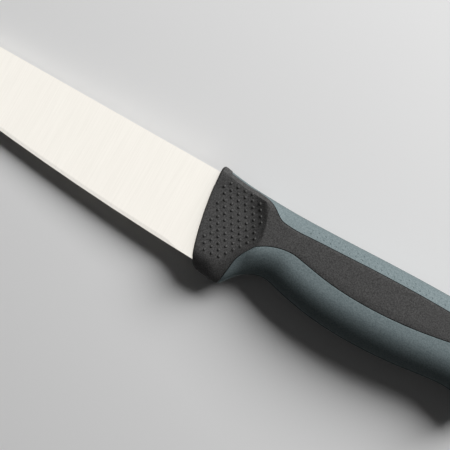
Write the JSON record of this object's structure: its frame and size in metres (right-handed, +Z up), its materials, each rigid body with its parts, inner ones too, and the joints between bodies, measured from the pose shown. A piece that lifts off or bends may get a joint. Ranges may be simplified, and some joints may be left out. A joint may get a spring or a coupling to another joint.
{
  "type": "meat knife",
  "caption": "Kitchen meat knife: a ground steel blade with a pointed tip, in a black moulded handle with a bolster, scooped thumb pads with raised pips and soft grey-blue grips.",
  "frame": {"origin": "the point on the table below the middle of the knife's box, as it rests on its side", "axes": "+X from the tip towards the butt, +Y from the cutting edge towards the spine, +Z up out of the side that faces up"},
  "size_m": [0.326, 0.0418, 0.0242],
  "materials": {
    "steel": "fine satin grind across the blade, with a finer bevel at the edge",
    "black_plastic": "hard, finely grained",
    "grey_blue_plastic": "soft, slightly speckled"
  },
  "bodies": {
    "root": {"blade": "steel", "handle_core": "black_plastic", "belly_grip": "grey_blue_plastic", "spine_grip": "grey_blue_plastic"}
  },
  "joints": []
}
